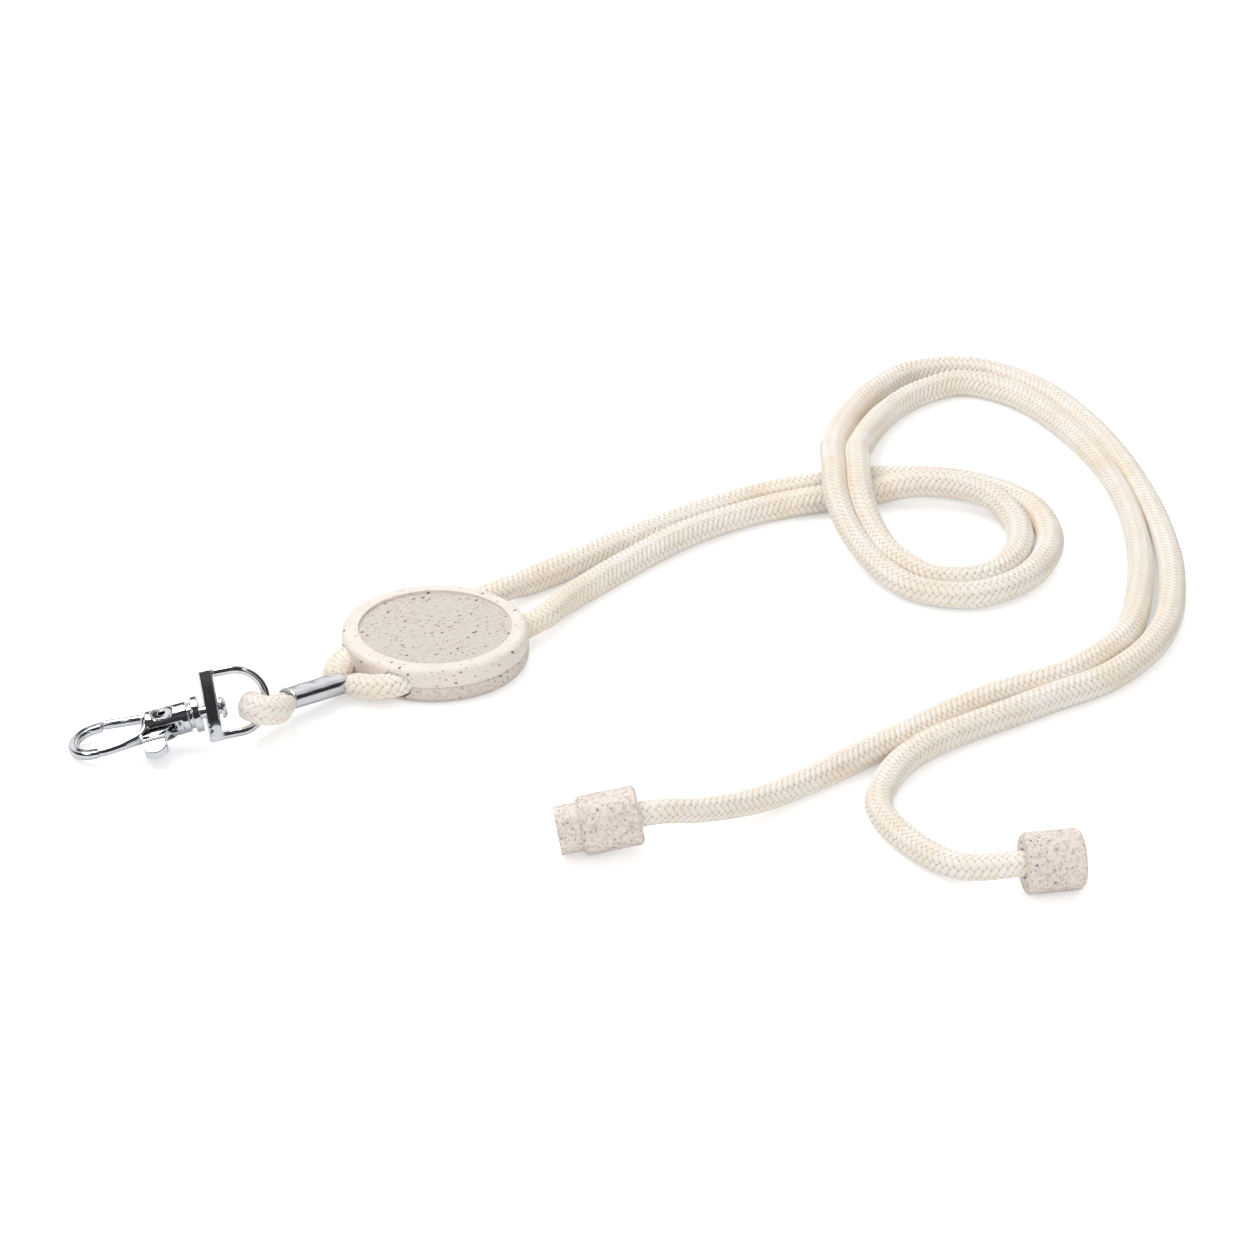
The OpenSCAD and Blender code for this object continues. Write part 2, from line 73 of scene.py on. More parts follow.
# ---------------------------------------------------------------- node helpers
class Nodes:
    """Short way to build one material's node tree. A value is a number or another node's output."""

    def __init__(self, name):
        self.mat = bpy.data.materials.new(name)
        self.mat.use_nodes = True
        self.tree = self.mat.node_tree
        self.tree.nodes.clear()
        self.out = self.add("ShaderNodeOutputMaterial")
        self.bsdf = self.add("ShaderNodeBsdfPrincipled")
        self.link(self.bsdf.outputs["BSDF"], self.out.inputs["Surface"])
        coord = self.add("ShaderNodeTexCoord")
        self.place = coord.outputs["Object"]

    def add(self, kind, **settings):
        node = self.tree.nodes.new(kind)
        for key, value in settings.items():
            setattr(node, key, value)
        return node

    def link(self, a, b):
        self.tree.links.new(a, b)

    def set(self, **values):
        for key, value in values.items():
            socket = self.bsdf.inputs[key.replace("_", " ")]
            if hasattr(value, "links"):
                self.link(value, socket)
            else:
                socket.default_value = value

    def scaled(self, scale, place=None):
        mapping = self.add("ShaderNodeMapping")
        mapping.inputs["Scale"].default_value = (
            scale if hasattr(scale, "__len__") else (scale,) * 3
        )
        self.link(place or self.place, mapping.inputs["Vector"])
        return mapping.outputs["Vector"]

    def noise(self, scale, detail=2.0, rough=0.5):
        node = self.add("ShaderNodeTexNoise")
        node.inputs["Scale"].default_value = 1.0
        node.inputs["Detail"].default_value = detail
        node.inputs["Roughness"].default_value = rough
        self.link(self.scaled(scale), node.inputs["Vector"])
        return node.outputs["Fac"]

    def cells(self, scale, place=None):
        node = self.add("ShaderNodeTexVoronoi", feature="F1")
        node.inputs["Scale"].default_value = 1.0
        self.link(self.scaled(scale, place), node.inputs["Vector"])
        return node

    def math(self, operation, a, b=0.0, clamp=False):
        node = self.add("ShaderNodeMath", operation=operation, use_clamp=clamp)
        for socket, value in zip(node.inputs, (a, b)):
            if hasattr(value, "links"):
                self.link(value, socket)
            else:
                socket.default_value = value
        return node.outputs[0]

    def span(self, value, low, high, to_low=0.0, to_high=1.0):
        node = self.add("ShaderNodeMapRange", clamp=True)
        self.link(value, node.inputs["Value"])
        for key, number in zip(
            ("From Min", "From Max", "To Min", "To Max"), (low, high, to_low, to_high)
        ):
            node.inputs[key].default_value = number
        return node.outputs["Result"]

    def mix(self, factor, a, b):
        node = self.add("ShaderNodeMix", data_type="RGBA")
        for socket, value in zip((node.inputs[0], node.inputs[6], node.inputs[7]), (factor, a, b)):
            if hasattr(value, "links"):
                self.link(value, socket)
            elif hasattr(value, "__len__"):
                socket.default_value = (*value, 1.0)
            else:
                socket.default_value = value
        return node.outputs[2]

    def bump(self, height, strength, distance):
        node = self.add("ShaderNodeBump")
        node.inputs["Strength"].default_value = strength
        node.inputs["Distance"].default_value = distance
        self.link(height, node.inputs["Height"])
        self.link(node.outputs["Normal"], self.bsdf.inputs["Normal"])

    def attribute(self, name):
        return self.add("ShaderNodeAttribute", attribute_name=name).outputs["Fac"]


def srgb(r, g, b):
    def one(v):
        v = v / 255
        return v / 12.92 if v <= 0.04045 else ((v + 0.055) / 1.055) ** 2.4

    return (one(r), one(g), one(b))


# ---------------------------------------------------------------- materials
CREAM = srgb(248, 238, 228)  # slider's ground colour
BARREL_CREAM = srgb(245, 234, 225)
DISH_TONE = 0.75  # share of the cream's brightness in the slider's dished face, which is coloured darker than the rim
LOWER_SHADE = 0.83  # share of it in the slider's lower shell, a painted shade on the slider's side
SEAM_Z = 0.00385  # height of the split between the slider's shells
DISH = (0.0156, 0.0066)  # radius of the slider's dished face, and a height just under it


def cotton_material():
    """Undyed cotton yarn: paler on the crowns of the stitches, with a painted tan shade in the grooves
    between them and between the yarn's plies.
    """
    m = Nodes("cotton_braid")
    height = m.attribute("stitch_height")
    ply = m.attribute("stitch_ply")
    crown = srgb(254, 251, 246)
    groove_shade = srgb(210, 180, 146)
    patch = m.noise(90, 3)
    worn = m.mix(m.span(patch, 0.38, 0.72), crown, srgb(249, 238, 222))
    husks = m.cells(520)
    seed = m.span(husks.outputs["Distance"], 0.07, 0.16, 1.0, 0.0)
    rare = m.math("GREATER_THAN", husks.outputs["Color"], 0.93)
    # Painted shade: the lower parts of the stitch relief, the grooves between stitches, are tinted tan.
    colour = m.mix(m.span(height, 0.28, 0.66), groove_shade, worn)
    # Painted shade: tan lines along the crevices between the yarn's plies in each stitch.
    ply_shade = m.span(m.math("PINGPONG", m.math("MULTIPLY", ply, 1.5), 0.5), 0.0, 0.5, 0.0, 0.3)
    colour = m.mix(ply_shade, colour, srgb(228, 204, 170))
    husk = m.math("MULTIPLY", m.math("MULTIPLY", seed, rare), 0.35)
    colour = m.mix(husk, colour, srgb(176, 134, 92))
    m.set(
        Base_Color=colour,
        Roughness=0.92,
        Specular_IOR_Level=0.2,
        Sheen_Weight=0.25,
        Sheen_Roughness=0.5,
        Subsurface_Weight=0.12,
        Subsurface_Radius=(0.001, 0.0008, 0.0006),
        Subsurface_Scale=1.0,
    )
    fibres = m.math("ADD", m.math("MULTIPLY", ply, 0.7), m.math("MULTIPLY", m.noise(5200, 3), 0.6))
    m.bump(fibres, 0.55, 0.00012)
    return m.mat


def plastic_material(name, base, across, mottle, streak=1.0, recess=None):
    """Plant-fibre plastic: cream ground with brown, grey and black flecks.

    across is the flecks' scale along x, y and z, and a smaller number makes them longer.
    mottle is the strength of the pinkish patches of fibre just under the surface.
    streak is the strength of the middle and the dark flecks.
    recess is the radius and the lowest height of a dished face, which is coloured darker than the rim round
    it; with it, the lower shell gets a painted shade.
    """
    m = Nodes(name)
    ground = m.mix(m.span(m.noise(140, 3), 0.35, 0.7), base, [c * 0.94 for c in base])
    density = 1.0
    if recess:
        radius, low = recess
        axes = m.add("ShaderNodeSeparateXYZ")
        m.link(m.place, axes.inputs[0])
        x2, y2 = (m.math("POWER", axes.outputs[k], 2) for k in (0, 1))
        from_axis = m.math("SQRT", m.math("ADD", x2, y2))
        within = m.span(from_axis, radius - 0.0002, radius, 1.0, 0.0)
        inside = m.math("MULTIPLY", within, m.math("GREATER_THAN", axes.outputs[2], low))
        ground = m.mix(inside, ground, [c * DISH_TONE for c in base])
        above = m.math("GREATER_THAN", axes.outputs[2], SEAM_Z)
        # Painted shade: below the seam, the lower shell is coloured darker to stand in for the shade on the
        # slider's side.
        ground = m.mix(above, [c * LOWER_SHADE for c in base], ground)
        rim = m.math("SUBTRACT", above, inside, clamp=True)
        density = m.math("SUBTRACT", 1.0, m.math("MULTIPLY", rim, 0.7))

    def flecks(scale, size, keep, warp):
        """Mask of one size of fleck, and a random tone for each; keep is the share of cells with one."""
        crowd = m.span(m.noise(260, 2), 0.35, 0.6, 0.35, 1.0)
        wobble = m.add("ShaderNodeVectorMath", operation="ADD")
        jitter = m.add("ShaderNodeTexNoise")
        jitter.inputs["Scale"].default_value = 1100
        m.link(m.place, jitter.inputs["Vector"])
        shrink = m.add("ShaderNodeVectorMath", operation="SCALE")
        shrink.inputs["Scale"].default_value = warp
        m.link(jitter.outputs["Color"], shrink.inputs[0])
        m.link(m.place, wobble.inputs[0])
        m.link(shrink.outputs[0], wobble.inputs[1])
        stretch = [scale * s for s in across]
        cell = m.cells(stretch, wobble.outputs[0])
        near = m.span(cell.outputs["Distance"], size * 0.75, size, 1.0, 0.0)
        split = m.add("ShaderNodeSeparateColor")
        m.link(cell.outputs["Color"], split.inputs[0])
        share = m.math("MULTIPLY", m.math("MULTIPLY", crowd, density), keep)
        chosen = m.math("LESS_THAN", split.outputs[0], share)
        return m.math("MULTIPLY", near, chosen), split.outputs[1]

    patches = m.math("MULTIPLY", m.span(m.noise(1100, 3, 0.65), 0.46, 0.72), density)
    colour = m.mix(m.math("MULTIPLY", patches, mottle), ground, srgb(186, 158, 146))
    fine, _ = flecks(2100, 0.34, 0.5, 0.0004)
    colour = m.mix(m.math("MULTIPLY", fine, 0.42), colour, srgb(158, 122, 102))
    middle, tone = flecks(1400, 0.29, 0.5, 0.0004)
    shade = m.mix(tone, srgb(122, 82, 64), srgb(138, 124, 118))
    colour = m.mix(m.math("MULTIPLY", middle, 0.68 * streak), colour, shade)
    dark, tone = flecks(820, 0.22, 0.4, 0.0003)
    shade = m.mix(tone, srgb(54, 36, 30), srgb(106, 72, 58))
    colour = m.mix(m.math("MULTIPLY", dark, 0.9 * streak), colour, shade)
    m.set(
        Base_Color=colour,
        Roughness=m.span(m.noise(700, 2), 0.3, 0.7, 0.36, 0.5),
        Subsurface_Weight=0.08,
        Subsurface_Radius=(0.0012, 0.001, 0.0008),
    )
    m.bump(m.noise(2600, 3), 0.12, 0.00008)
    return m.mat


def metal_material(name, tint, low, high, waves=300, depth=0.00002):
    """Plated metal with roughness from low to high.

    waves to the metre and their depth bend its reflections, as on a tumbled casting.
    """
    m = Nodes(name)
    m.set(
        Base_Color=m.mix(m.span(m.noise(260, 2), 0.3, 0.7), tint, [c * 0.93 for c in tint]),
        Metallic=1.0,
        Roughness=m.span(m.noise(420, 3), 0.3, 0.7, low, high),
    )
    m.bump(m.noise(waves, 1), 1.0, depth)
    return m.mat


cotton = cotton_material()
slider_plastic = plastic_material("speckled_plastic", CREAM, (0.52, 0.95, 0.9), recess=DISH, mottle=0.42)
barrel_plastic = plastic_material(
    "speckled_plastic_barrels", BARREL_CREAM, (0.8, 0.72, 0.68), streak=0.8, mottle=0.7
)
chrome = metal_material("chrome", (0.88, 0.89, 0.91), 0.05, 0.1, 150, 0.00045)
bright = metal_material("ferrule_metal", (0.82, 0.82, 0.85), 0.16, 0.24)
spring = metal_material("spring_steel", (0.52, 0.53, 0.56), 0.2, 0.3)


def paint(obj, material):
    if not obj.material_slots:
        obj.data.materials.append(material)
    for slot in obj.material_slots:
        slot.material = material


# ---------------------------------------------------------------- braided rope
# Each point is x, y, z and the rope's diameter there, as in the CAD source.
FRONT_ROUTE = [
    (-24.6, 0.25, 3.55, 2.3), (-23.9, 0.22, 3.485, 2.5), (-22.6, -2.2, 3.5, 3.8), (-20.6, -5.4, 3.7, 4.4),
    (-17, -7.3, 3.85, 4.6), (18, -7.4, 3.85, 4.6), (24.5, -6.8, 3.8, 4.6),
    (33, -3.8, 3, 5.8), (70, 0.2, 3, 6), (86, -1.7, 3, 5.7),
    (97, -5, 3, 6), (111, -12.4, 3.2, 6), (123, -22.3, 5.4, 6),
    (128.2, -34, 5.3, 5.8), (124.5, -46.5, 3.6, 6), (114, -55, 3, 6),
    (102, -56.4, 3, 5.8), (95.1, -50, 3.1, 5.4), (94.9, -37.6, 4.3, 5.2),
    (99.2, -27.6, 6, 5.3), (104.2, -20, 8.2, 5.5), (111, -12.7, 9.2, 5.5),
    (118, -5.7, 8.5, 5.5), (126.2, 0.6, 5.8, 6), (134.5, 6, 4, 6),
    (146, 11.2, 3, 6), (158, 13, 3, 6), (169, 10, 3, 6),
    (173.1, -2, 3, 5.8), (168.6, -21.6, 3, 5.4), (158, -43.2, 3, 5.1),
    (142.1, -64.2, 3, 5.3), (122.8, -82.1, 3, 5.8), (104, -94, 3, 6),
    (85, -96.6, 3, 6), (65, -92.3, 3, 6), (38, -90.6, 3, 6),
    (4, -89.3, 3.5, 5.3), (-11, -87, 6, 4.9), (-18.3, -84.3, 7.7, 5),
    (-21.8, -81.9, 7.43, 5.1),
]
BACK_ROUTE = [
    (-24.6, 2.65, 3.25, 2.3), (-23.9, 2.62, 3.185, 2.5), (-22.4, 4.8, 3.5, 3.8), (-17, 7.4, 3.85, 4.6),
    (24.5, 7.4, 3.8, 4.6), (33, 7.6, 3, 5.8), (78, 5.4, 3, 5.9),
    (96, 1.9, 3, 5.8), (107.3, -2.7, 3, 6), (117, -8.3, 3, 6),
    (127, -17, 3, 6), (133.3, -28, 3, 6), (134, -41, 3, 6),
    (128, -52.3, 3, 6), (118, -60.2, 3.2, 6), (106, -63.6, 3.3, 5.8),
    (94.8, -60.5, 3.1, 5.8), (88.5, -50.6, 3.1, 5.5), (89.1, -38.6, 4.3, 5.2),
    (94.2, -25.8, 6.2, 5.3), (100.3, -16.2, 8.4, 5.5), (107.2, -9, 9.1, 5.5),
    (114.2, -1.8, 8.4, 5.6), (124, 6.5, 5, 6), (137, 15, 3.2, 6),
    (151, 20.5, 3, 6), (165, 21.2, 3, 6), (176, 13, 3, 6),
    (179, -3, 3, 5.8), (174.6, -20.7, 3, 5.4), (164.4, -42, 3, 5.1),
    (148.3, -65.3, 3, 5.3), (130.5, -84.3, 3, 5.8), (110, -98.7, 3, 6),
    (90, -103.2, 3, 6), (70, -100.3, 3, 6), (40, -96.7, 3, 5.9),
    (26.5, -100.5, 2.9, 5.8), (17, -108, 2.8, 5.5), (12.5, -131.5, 3.4, 5.3),
    (18.9, -142.3, 5.8, 5.1),
]
LOOP_ROUTE = [
    (-24.6, 0.25, 3.55, 2.3), (-37.5, 0.8, 4.75, 2.3), (-39.7, -0.9, 5.3, 3),
    (-42.3, -2.6, 6.3, 3.8), (-45, -3.5, 7.2, 4), (-47.5, -2.5, 7.8, 4),
    (-48.3, -0.2, 7.9, 4), (-47.5, 1.9, 7.1, 4), (-45.5, 2.7, 5.8, 4),
    (-43.6, 1.6, 4.8, 4), (-40.6, 2.4, 4.4, 3.4), (-37.5, 3.2, 4.45, 2.3),
    (-24.6, 2.65, 3.25, 2.3),
]
ARCH_AXIS = np.array([0.527126, 0.1389, 0.838397])  # along the D-ring's arch, where the bight lies on it
ROPE_D = 6.0
COVER_D = 5.6  # diameter at which the wales' width is measured
CRUSHED_D = 2.3  # each strand in the ferrule
CHANNEL_H = 5.0  # strand's height in the slider
ROPE_END_D = 5.1  # in the connectors
WALES = 8  # columns of stitches round the rope
PITCH = 1.45  # length of one stitch along the free strands
TIGHT_PITCH = 1.12  # and along the bight
LEAN = math.radians(56)  # stitches' slope to the rope's length
STITCH_SHARE = 0.466  # half a stitch's breadth, as a share of the pitch
STITCH_LAP = 0.34  # how far a stitch's half length runs past its wale
RELIEF = 0.46  # depth of the grooves
STEP = 0.2  # between rings of vertices
AROUND, BIGHT_AROUND = 72, 64  # vertices in a ring
FINE = 60  # samples between two points of a route


def curve_through(points, step):
    """Centripetal curve through the points, in even steps: its x, y, z and diameters, and the run to each."""
    p = np.array(points, float)
    p = np.vstack([2 * p[0] - p[1], p, 2 * p[-1] - p[-2]])
    fine = []
    for i in range(1, len(p) - 2):
        p0, p1, p2, p3 = p[i - 1 : i + 3]
        t0 = 0.0
        t1 = t0 + np.linalg.norm((p1 - p0)[:3]) ** 0.5
        t2 = t1 + np.linalg.norm((p2 - p1)[:3]) ** 0.5
        t3 = t2 + np.linalg.norm((p3 - p2)[:3]) ** 0.5
        t = np.linspace(t1, t2, FINE, endpoint=False)[:, None]
        a1 = (t1 - t) / (t1 - t0) * p0 + (t - t0) / (t1 - t0) * p1
        a2 = (t2 - t) / (t2 - t1) * p1 + (t - t1) / (t2 - t1) * p2
        a3 = (t3 - t) / (t3 - t2) * p2 + (t - t2) / (t3 - t2) * p3
        b1 = (t2 - t) / (t2 - t0) * a1 + (t - t0) / (t2 - t0) * a2
        b2 = (t3 - t) / (t3 - t1) * a2 + (t - t1) / (t3 - t1) * a3
        fine.append((t2 - t) / (t2 - t1) * b1 + (t - t1) / (t2 - t1) * b2)
    fine = np.vstack([*fine, p[-2][None]])
    run = np.concatenate([[0], np.cumsum(np.linalg.norm(np.diff(fine[:, :3], axis=0), axis=1))])
    count = max(2, int(round(run[-1] / step)) + 1)
    at = np.linspace(0, run[-1], count)
    return np.stack([np.interp(at, run, fine[:, k]) for k in range(fine.shape[1])], 1), at


def braid_relief(s, v, pitch):
    """Height 0..1 of the plaited surface at s mm along the rope and v wales round it, and its ply phase.

    Each wale is a column of overlapping leaning stitches, and the highest stitch at a place shows.
    """
    wale_w = math.pi * COVER_D / WALES
    half_b = pitch * STITCH_SHARE
    half_a = wale_w / math.sin(LEAN) / 2 + STITCH_LAP
    height = np.zeros_like(s)
    ply = np.zeros_like(s)
    wale = np.floor(v)
    for dw in (-1, 0, 1):
        w = wale + dw
        even = np.mod(w, 2) < 0.5
        sign = np.where(even, 1.0, -1.0)
        shift = np.where(even, 0.0, 0.5)
        x = (v - w - 0.5) * wale_w
        base = np.round(s / pitch - shift - sign * x / math.tan(LEAN) / pitch)
        for di in (-1, 0, 1):
            centre = (base + di + shift) * pitch
            y = s - centre
            along = y * math.cos(LEAN) * sign + x * math.sin(LEAN)
            across = y * math.sin(LEAN) - sign * x * math.cos(LEAN)
            uneven = np.sin(12.9898 * (base + di) + 78.233 * np.mod(w, WALES))
            fill = 1 - np.abs(along / half_a) ** 2.6 - (across / half_b) ** 2
            h = np.sqrt(np.clip(fill, 0, 1)) * (0.95 + 0.05 * uneven)
            new = h > height
            height = np.where(new, h, height)
            ply = np.where(new, across / half_b + 0.25 * along, ply)
    return height, ply


def rope_mesh(name, points, squeeze, side_hint=None, around=AROUND, phase=0.0, pitch=PITCH):
    """Braided rope along the points (mm); gives the piece, its centreline and its length in metres.

    squeeze(at, rows) gives the width and height at each ring. The width lies level, or along side_hint.
    """
    rows, at = curve_through(points, STEP)
    centre = rows[:, :3]
    tangent = np.gradient(centre, axis=0)
    tangent /= np.linalg.norm(tangent, axis=1, keepdims=True)
    if side_hint is None:
        side = np.cross(tangent, [0, 0, 1.0])
    else:
        side = np.tile(side_hint, (len(at), 1)) - (tangent @ side_hint)[:, None] * tangent
    side /= np.linalg.norm(side, axis=1, keepdims=True)
    rise = np.cross(side, tangent)
    width, tall = squeeze(at, rows)
    angle = np.linspace(0, TAU, around, endpoint=False)
    turn = phase + 0.12 * np.sin(at / 23.0) + 0.09 * np.sin(at / 9.1 + 1.3)  # a slow, uneven twist
    s = np.repeat(at[:, None], around, 1)
    v = np.mod((angle[None, :] + turn[:, None]) / TAU * WALES, WALES)
    height, ply = braid_relief(s, v, pitch)
    scale = np.minimum(width, tall)[:, None] / ROPE_D
    lift = RELIEF * (height - 1.0) * np.clip(scale, 0.45, 1.0)
    rx = (width / 2)[:, None] + lift
    ry = (tall / 2)[:, None] + lift
    co = (
        centre[:, None, :]
        + side[:, None, :] * (rx * np.cos(angle))[:, :, None]
        + rise[:, None, :] * (ry * np.sin(angle))[:, :, None]
    ).reshape(-1, 3)
    n = len(at)
    i = np.arange(n - 1)[:, None] * around
    j = np.arange(around)[None, :]
    k = (j + 1) % around
    quads = np.stack([i + j, i + around + j, i + around + k, i + k], -1).reshape(-1, 4)
    faces = quads.tolist()
    verts = co.tolist()
    h_all, p_all = height.reshape(-1).tolist(), ply.reshape(-1).tolist()
    for end in (0, n - 1):
        verts.append(centre[end].tolist())
        h_all.append(0.2)
        p_all.append(0.0)
        hub = len(verts) - 1
        for q in range(around):
            a, b = end * around + q, end * around + (q + 1) % around
            faces.append([hub, a, b] if end == 0 else [hub, b, a])
    mesh = bpy.data.meshes.new(name)
    mesh.from_pydata((np.array(verts) * MM).tolist(), [], faces)
    mesh.update()
    for key, data in (("stitch_height", h_all), ("stitch_ply", p_all)):
        layer = mesh.attributes.new(key, "FLOAT", "POINT")
        layer.data.foreach_set("value", np.array(data, np.float32))
    mesh.polygons.foreach_set("use_smooth", [True] * len(mesh.polygons))
    obj = bpy.data.objects.new(name, mesh)
    scene.collection.objects.link(obj)
    mesh.materials.append(cotton)
    return obj, (centre * MM), at[-1] * MM


FERRULE_END_X, SLIDER_END_X = -19.5, 25  # where the strands' sections change
NEAR_X, NEAR_Y = 30, 12  # bounds of the stretch where they are held
EASE = 6  # length over which a strand grows round again past the slider


def smoothed(values, window=9):
    kernel = np.hanning(window)
    return np.convolve(np.pad(values, window // 2, mode="edge"), kernel / kernel.sum(), mode="valid")


def strand_section(at, rows):
    """Width and height of a strand: round when free, held lower in the ferrule and the slider."""
    width, tall = rows[:, 3].copy(), rows[:, 3].copy()
    x = rows[:, 0]
    near = (np.abs(rows[:, 1]) < NEAR_Y) & (x < NEAR_X)
    held = near & (x > FERRULE_END_X) & (x < SLIDER_END_X)
    width[held] = ROPE_D
    tall[held] = CHANNEL_H
    out = near & (x <= FERRULE_END_X)
    swell = np.sqrt(np.clip((at[out] - 0.5) / 2.2, 0, 1))
    width[out] = CRUSHED_D + swell * 3.5
    tall[out] = CRUSHED_D + swell * 2.8
    soft = near & (x >= SLIDER_END_X)
    free = np.clip((x[soft] - SLIDER_END_X) / EASE, 0, 1)
    width[soft] = ROPE_D + free * (rows[soft, 3] - ROPE_D)
    tall[soft] = CHANNEL_H + free * (rows[soft, 3] - CHANNEL_H)
    return smoothed(width), smoothed(tall)


def loop_section(at, rows):
    """Width and height of the bight, which is flattened against the D-ring's arch."""
    swell = np.clip((rows[:, 3] - CRUSHED_D) / 1.7, 0, 1)
    return CRUSHED_D + swell * 3.7, CRUSHED_D + swell * 2.0


# Each connector's place, its turn down and round (degrees), and how deep the rope goes into it.
MALE_AT, MALE_TURN, MALE_ROPE_IN = (-21.8, -81.9, 7.43), (9, 143), 10.5
FEMALE_AT, FEMALE_TURN, FEMALE_ROPE_IN = (18.9, -142.3, 5.8), (0, -34), 4.6


def run_on(at, turn, depth):
    """Rope's last point, inside its connector's end stop."""
    tilt, heading = (math.radians(a) for a in turn)
    way = (math.cos(tilt) * math.cos(heading), math.cos(tilt) * math.sin(heading), -math.sin(tilt))
    return (*(a + depth * w for a, w in zip(at, way)), ROPE_END_D)


front_route = FRONT_ROUTE + [run_on(MALE_AT, MALE_TURN, MALE_ROPE_IN)]
back_route = BACK_ROUTE + [run_on(FEMALE_AT, FEMALE_TURN, FEMALE_ROPE_IN)]
front, front_path, front_len = rope_mesh("rope_front", front_route, strand_section)
back, back_path, back_len = rope_mesh("rope_back", back_route, strand_section, phase=0.4)
bight, _, _ = rope_mesh(
    "rope_bight", LOOP_ROUTE, loop_section, ARCH_AXIS, BIGHT_AROUND, phase=0.2, pitch=TIGHT_PITCH
)
for piece, node in ((front, "cord_front"), (back, "cord_back"), (bight, "cord_loop")):
    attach(piece, "cord")
    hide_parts(node)

# ---------------------------------------------------------------- plastic and metal
for name in ("slider_top", "slider_base"):
    paint(nodes[name], slider_plastic)
for name in ("male_connector", "female_connector"):
    paint(nodes[name], barrel_plastic)
for name in ("hook_body", "gate_lever", "gate_rivet", "swivel_post", "d_ring"):
    paint(nodes[name], chrome)
paint(nodes["ferrule"], bright)
for name in ("gate_spring", "male_end_stop", "female_end_stop"):
    paint(nodes[name], spring)


def cast(node, voxel, rounds, name, body):
    """Replaces a chromed node by its own shape with softened edges: remeshed at voxel metres and smoothed."""
    obj = bpy.data.objects.new(name, nodes[node].data.copy())
    scene.collection.objects.link(obj)
    remesh = obj.modifiers.new("remesh", "REMESH")
    remesh.mode = "VOXEL"
    remesh.voxel_size = voxel
    smooth = obj.modifiers.new("smooth", "SMOOTH")
    smooth.factor = 0.5
    smooth.iterations = rounds
    depsgraph = bpy.context.evaluated_depsgraph_get()
    solid = bpy.data.meshes.new_from_object(obj.evaluated_get(depsgraph))
    obj.modifiers.clear()
    obj.data = solid
    solid.polygons.foreach_set("use_smooth", [True] * len(solid.polygons))
    solid.materials.clear()
    solid.materials.append(chrome)
    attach(obj, body)
    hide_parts(node)


cast("hook_body", 0.00009, 30, "hook_casting", "hook")
cast("gate_lever", 0.00008, 24, "gate_casting", "gate")
cast("d_ring", 0.00011, 34, "ring_casting", "ring")
cast("swivel_post", 0.00007, 14, "post_turning", "hook")
cast("gate_rivet", 0.00006, 10, "eyelet_rivet", "hook")

FERRULE_AT = (-31.05, 1.72, 4.0)
FERRULE_TURN = (-7, 5.3, -2.4)
SQUARENESS = 2.8  # power of the section's rounded box
EDGE = 0.25  # length of the softened ends
MARK = 0.05  # depth of the press marks on the top


def crushed_sleeve(name, length, wide, tall, wall, shift, around=96, along=48):
    """Tube pressed flat round both strands: rounded-box section, soft ends and shallow press marks."""
    turn = Euler([math.radians(a) for a in FERRULE_TURN], "XYZ").to_matrix()
    angle = np.linspace(0, TAU, around, endpoint=False)
    c, s = np.cos(angle), np.sin(angle)
    reach = (np.abs(c) ** SQUARENESS + np.abs(s) ** SQUARENESS) ** (-1 / SQUARENESS)
    x = np.linspace(-length / 2, length / 2, along)
    end = np.clip((length / 2 - np.abs(x)) / EDGE, 0, 1)
    soft = 1 - 0.14 * (1 - np.sqrt(1 - (1 - end) ** 2))

    def ring(i, inset, mark):
        y = (wide / 2 - inset) * reach * c
        z = (tall / 2 - inset - mark) * reach * s
        return np.stack([np.full(around, x[i] + shift), y, z], 1)

    rings = []
    for i in range(along):
        mark = MARK * math.sin(x[i] * 1.3 + 0.6) * np.clip(s, 0, 1) ** 2
        rings.append(ring(i, wall * (1 - soft[i]), mark))
    rings += [ring(i, wall, 0) for i in reversed(range(along))]
    points = np.concatenate(rings) @ np.array(turn).T + np.array(FERRULE_AT)
    count = len(rings)
    i = (np.arange(count) * around)[:, None]
    k = np.arange(around)[None, :]
    nxt = ((np.arange(count) + 1) % count * around)[:, None]
    beside = (k + 1) % around
    faces = np.stack([i + k, i + beside, nxt + beside, nxt + k], -1).reshape(-1, 4)
    mesh = bpy.data.meshes.new(name)
    mesh.from_pydata((points * MM).tolist(), [], faces.tolist())
    mesh.validate()
    mesh.polygons.foreach_set("use_smooth", [True] * len(mesh.polygons))
    mesh.update()
    obj = bpy.data.objects.new(name, mesh)
    scene.collection.objects.link(obj)
    mesh.materials.append(bright)
    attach(obj, "cord")
    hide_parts("ferrule")


crushed_sleeve("ferrule_sleeve", length=13.7, wide=5.8, tall=3.75, wall=0.35, shift=0.35)

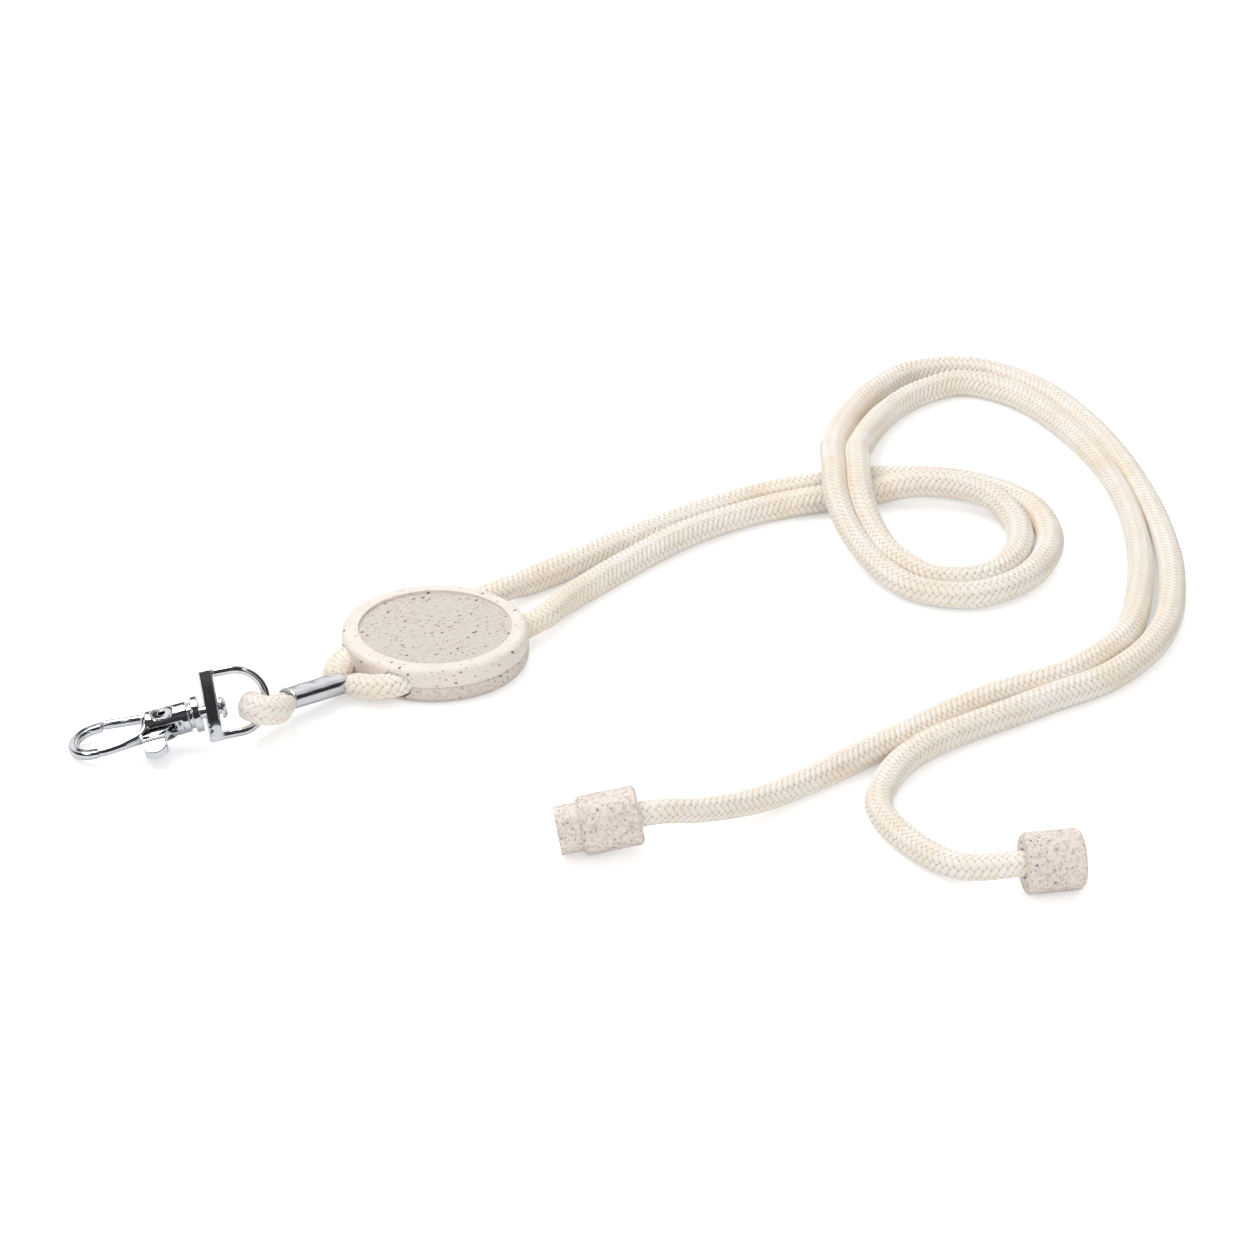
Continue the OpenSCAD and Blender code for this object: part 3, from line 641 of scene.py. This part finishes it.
# ---------------------------------------------------------------- floor and light
HALF = 3.0
GAP = 0.0002  # between the floor and the lowest point
floor_mesh = bpy.data.meshes.new("floor")
corners = [(-HALF, -HALF, 0), (HALF, -HALF, 0), (HALF, HALF, 0), (-HALF, HALF, 0)]
floor_mesh.from_pydata(corners, [], [(0, 1, 2, 3)])
floor = bpy.data.objects.new("floor", floor_mesh)
floor.location = (0.05, -0.04, cad_box[0][2] - GAP)
scene.collection.objects.link(floor)
paper = Nodes("paper")
ray = paper.add("ShaderNodeLightPath")
white = paper.mix(paper.noise(8, 2), srgb(250, 250, 250), srgb(253, 253, 253))
paper.set(
    Base_Color=paper.mix(ray.outputs["Is Glossy Ray"], white, (0.74, 0.75, 0.77)),
    Roughness=0.9,
    Specular_IOR_Level=0.1,
    Emission_Color=(1, 1, 1, 1),
    Emission_Strength=paper.math("MULTIPLY", ray.outputs["Is Camera Ray"], 0.4),
)
floor_mesh.materials.append(paper.mat)

world = bpy.data.worlds.new("studio")
world.use_nodes = True
tree = world.node_tree
tree.nodes.clear()


def sky_node(kind, *inputs, **settings):
    node = tree.nodes.new(kind)
    for key, value in settings.items():
        setattr(node, key, value)
    for socket, value in zip(node.inputs, inputs):
        if hasattr(value, "links"):
            tree.links.new(value, socket)
        elif value is not None:
            socket.default_value = value
    return node


sky_way = sky_node("ShaderNodeTexCoord").outputs["Generated"]


def card(way, inner, outer):
    """1 within the inner angle (degrees) of a direction, 0 past the outer one."""
    toward = Vector(way).normalized()
    dot = sky_node("ShaderNodeVectorMath", sky_way, toward, operation="DOT_PRODUCT").outputs["Value"]
    near, far = math.cos(math.radians(inner)), math.cos(math.radians(outer))
    return sky_node("ShaderNodeMapRange", dot, far, near, 0.0, 1.0).outputs[0]


def band(way, low, high, soft):
    """1 where the direction's share along way lies between low and high."""
    toward = Vector(way).normalized()
    dot = sky_node("ShaderNodeVectorMath", sky_way, toward, operation="DOT_PRODUCT").outputs["Value"]
    up = sky_node("ShaderNodeMapRange", dot, low - soft, low, 0.0, 1.0).outputs[0]
    down = sky_node("ShaderNodeMapRange", dot, high, high + soft, 1.0, 0.0).outputs[0]
    return sky_node("ShaderNodeMath", up, down, operation="MULTIPLY").outputs[0]


def painted(colour, factor, value):
    """The sky's colour so far, with value laid over it where factor is 1."""
    mix = sky_node("ShaderNodeMix", data_type="RGBA")
    for socket, given in zip((mix.inputs[0], mix.inputs[6], mix.inputs[7]), (factor, colour, value)):
        if hasattr(given, "links"):
            tree.links.new(given, socket)
        else:
            socket.default_value = given
    return mix.outputs[2]


def grey(value):
    return (value * 0.96, value * 0.98, value, 1)


# The main view's directions: to its right, away from it and up.
SIDE = Vector((0.7193, -0.6947, 0))
AWAY = Vector((0.6947, 0.7193, 0))
UP = Vector((0, 0, 1))
depth = sky_node("ShaderNodeVectorMath", sky_way, AWAY, operation="DOT_PRODUCT").outputs["Value"]
share_away = sky_node("ShaderNodeMapRange", depth, -1.0, 1.0, 0.0, 1.0).outputs[0]
ramp = sky_node("ShaderNodeValToRGB", share_away)
ramp.color_ramp.interpolation = "EASE"
# Brightness of the studio that the chrome mirrors, from the main view's own side (-1) over the top (0)
# to the far side (1).
STRIPES = (
    (-1.0, 0.03), (-0.85, 0.035), (-0.66, 0.08), (-0.5, 0.06), (-0.34, 0.03), (-0.12, 0.02),
    (0.18, 0.05), (0.40, 0.30), (0.58, 0.66), (1.0, 0.80),
)
for i, (share, level) in enumerate(STRIPES):
    stops = ramp.color_ramp.elements
    stop = stops[0] if i == 0 else stops.new((share + 1) / 2)
    stop.position = (share + 1) / 2
    stop.color = grey(level)
light_sky = painted(ramp.outputs[0], band(SIDE, 0.45, 0.52, 0.03), grey(0.9))
light_sky = painted(light_sky, card(-AWAY * 0.45 - SIDE * 0.62 + UP * 0.6, 9, 12), grey(2.6))
light_sky = painted(light_sky, band(SIDE, -0.30, -0.24, 0.03), grey(0.05))
light_sky = painted(light_sky, band(UP, 0.0, 0.09, 0.05), grey(0.05))
sky = sky_node("ShaderNodeBackground", light_sky, 1.0)
out = tree.nodes.new("ShaderNodeOutputWorld")
tree.links.new(sky.outputs[0], out.inputs[0])
scene.world = world


def panel(name, place, size, power, mirrored=True):
    """Soft light over the object, facing its middle."""
    data = bpy.data.lights.new(name, "AREA")
    data.shape = "RECTANGLE"
    data.size, data.size_y = size
    data.energy = power
    light = bpy.data.objects.new(name, data)
    light.location = place
    light.rotation_euler = (middle - place).to_track_quat("-Z", "Y").to_euler()
    light.visible_glossy = mirrored
    scene.collection.objects.link(light)


middle = Vector((0.05, -0.05, 0))
panel("key", middle - SIDE * 0.45 + AWAY * 0.25 + UP * 0.9, (0.7, 0.7), 5.6)
panel("fill", middle - AWAY * 0.95 + SIDE * 0.2 + UP * 0.55, (1.2, 0.9), 5.0, mirrored=False)
panel("top", middle + UP * 1.1, (1.4, 1.4), 4.2, mirrored=False)
